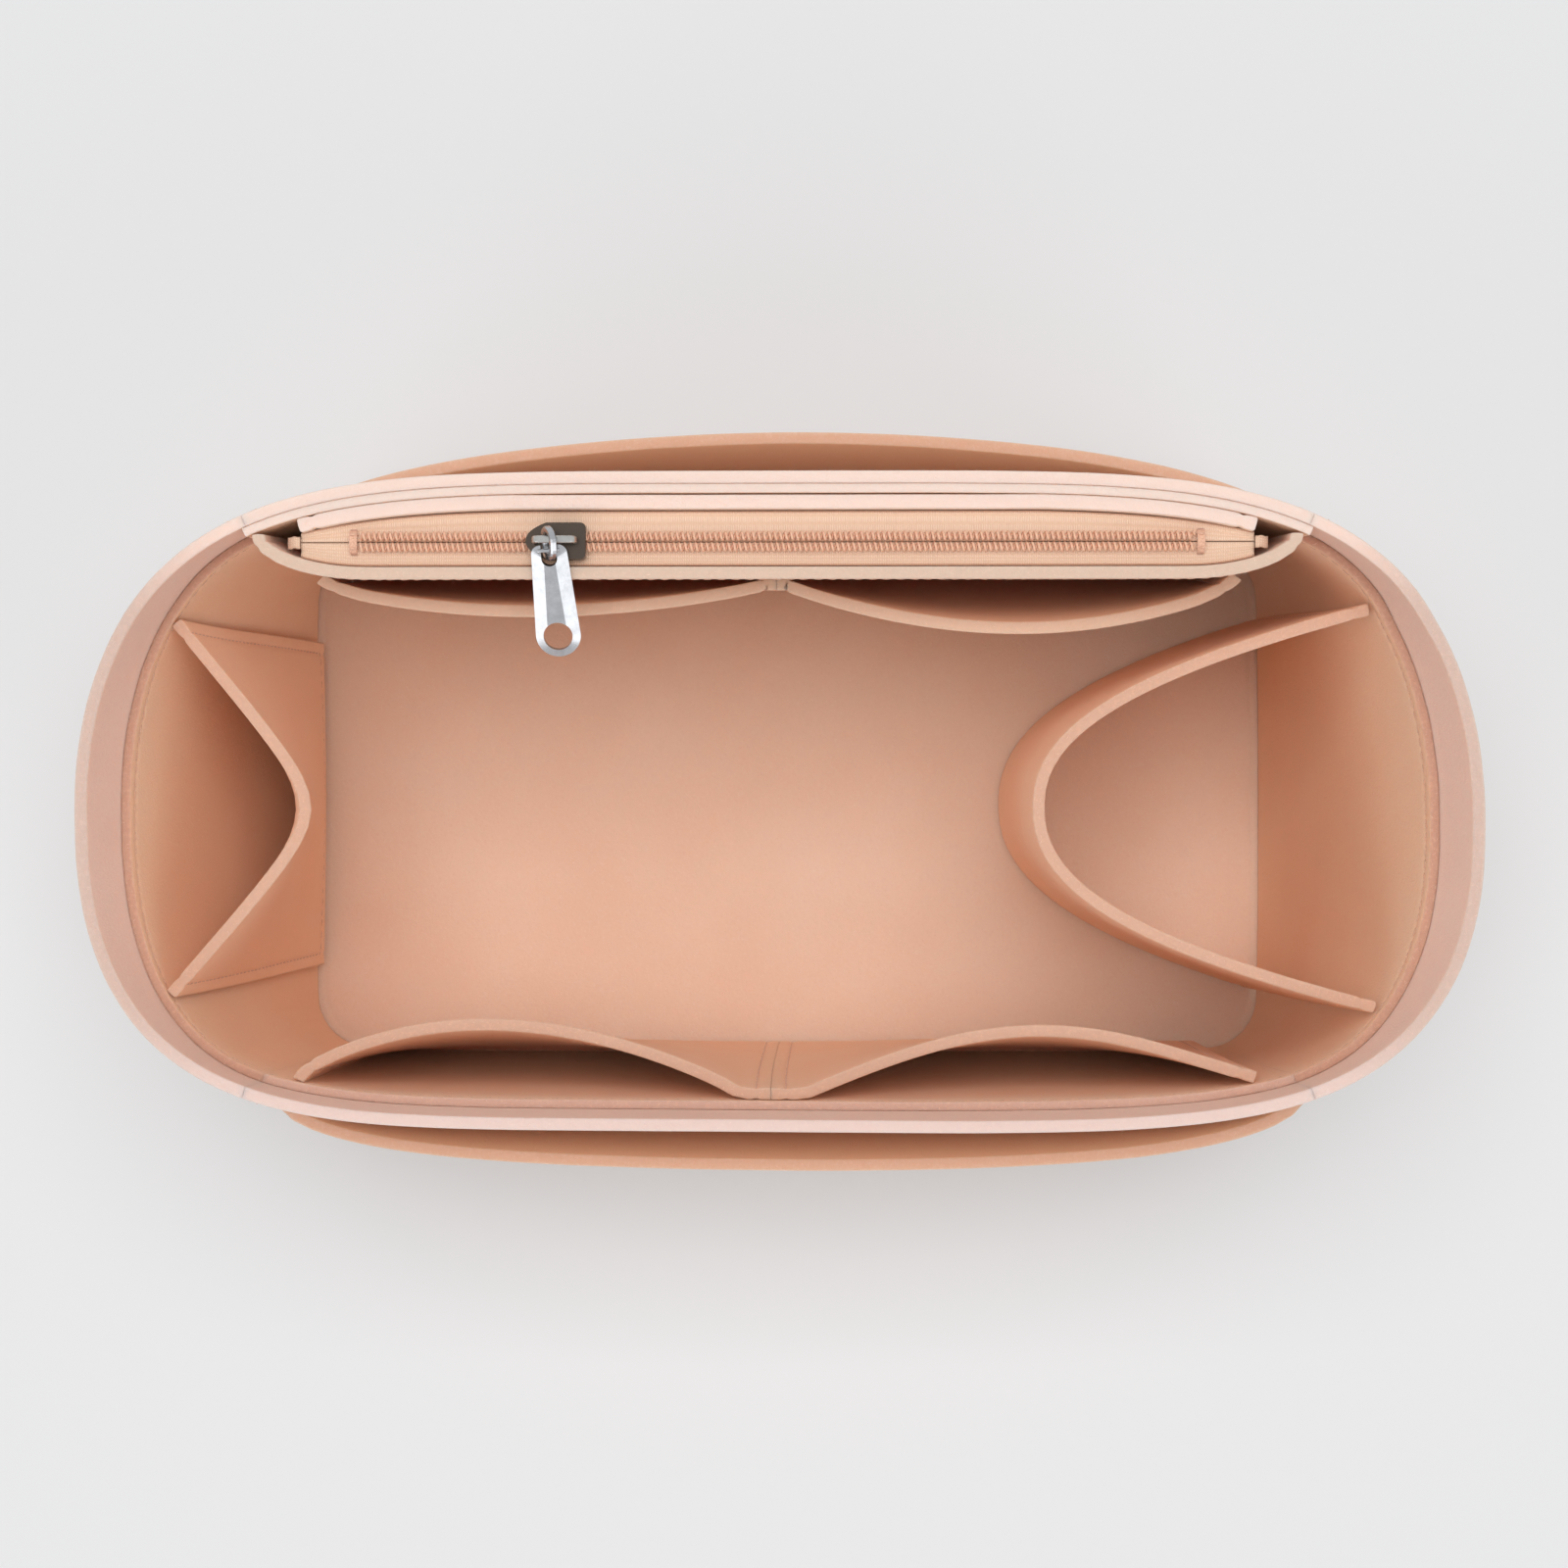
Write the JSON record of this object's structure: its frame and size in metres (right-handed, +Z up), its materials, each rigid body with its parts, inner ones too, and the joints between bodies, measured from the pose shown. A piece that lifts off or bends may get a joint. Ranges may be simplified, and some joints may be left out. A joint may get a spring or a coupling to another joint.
{
  "type": "purse organizer insert",
  "caption": "Open felt purse organizer insert with a zipped back pocket, a bottle holder and pockets inside and out.",
  "frame": {"origin": "middle of the underside of the bottom panel", "axes": "+X along the length to the bottle holder's end, +Y to the zipped back, +Z up"},
  "size_m": [0.336, 0.1878, 0.1683],
  "materials": {
    "felt": "matt",
    "tape": "woven",
    "coil": "satin",
    "steel": "polished"
  },
  "bodies": {
    "organizer": {"bottom_panel": "felt", "floor_panel": "felt", "front_wall": "felt", "right_end_wall": "felt", "back_wall": "felt", "left_end_wall": "felt", "front_lining": "felt", "right_end_lining": "felt", "back_lining": "felt", "left_end_lining": "felt", "front_outer_pocket": "felt", "back_outer_pocket": "felt", "front_pocket_left": "felt", "front_pocket_right": "felt", "left_end_pocket": "felt", "bottle_holder": "felt", "zip_pocket_front_panel": "felt", "zip_pocket_back_panel": "felt", "slip_pocket_left": "felt", "slip_pocket_right": "felt", "zip_tape_front": "tape", "zip_tape_back": "tape", "zip_coil_front": "coil", "zip_coil_back": "coil", "zip_end_tack_left": "tape", "zip_end_tack_right": "tape", "zip_tape_fold_left": "tape", "zip_tape_fold_right": "tape"},
    "slider": {"slider_body": "steel"},
    "link": {"pull_link": "steel"},
    "pull": {"pull_tab": "steel"}
  },
  "joints": [
    {"name": "slider_slide", "type": "slide", "parent": "organizer", "child": "slider", "axis": [1, 0, 0], "range_m": [-0.0403, 0.1453]},
    {"name": "pull_swing", "type": "hinge", "parent": "slider", "child": "link", "pos_m": [-0.0537, 0.0622, 0.1653], "axis": [-1, 0, 0], "range_deg": [0, 214]},
    {"name": "pull_turn", "type": "hinge", "parent": "link", "child": "pull", "pos_m": [-0.0537, 0.05812, 0.16365], "axis": [0, -0.3746, 0.9272], "range_deg": [-16, 8]}
  ]
}
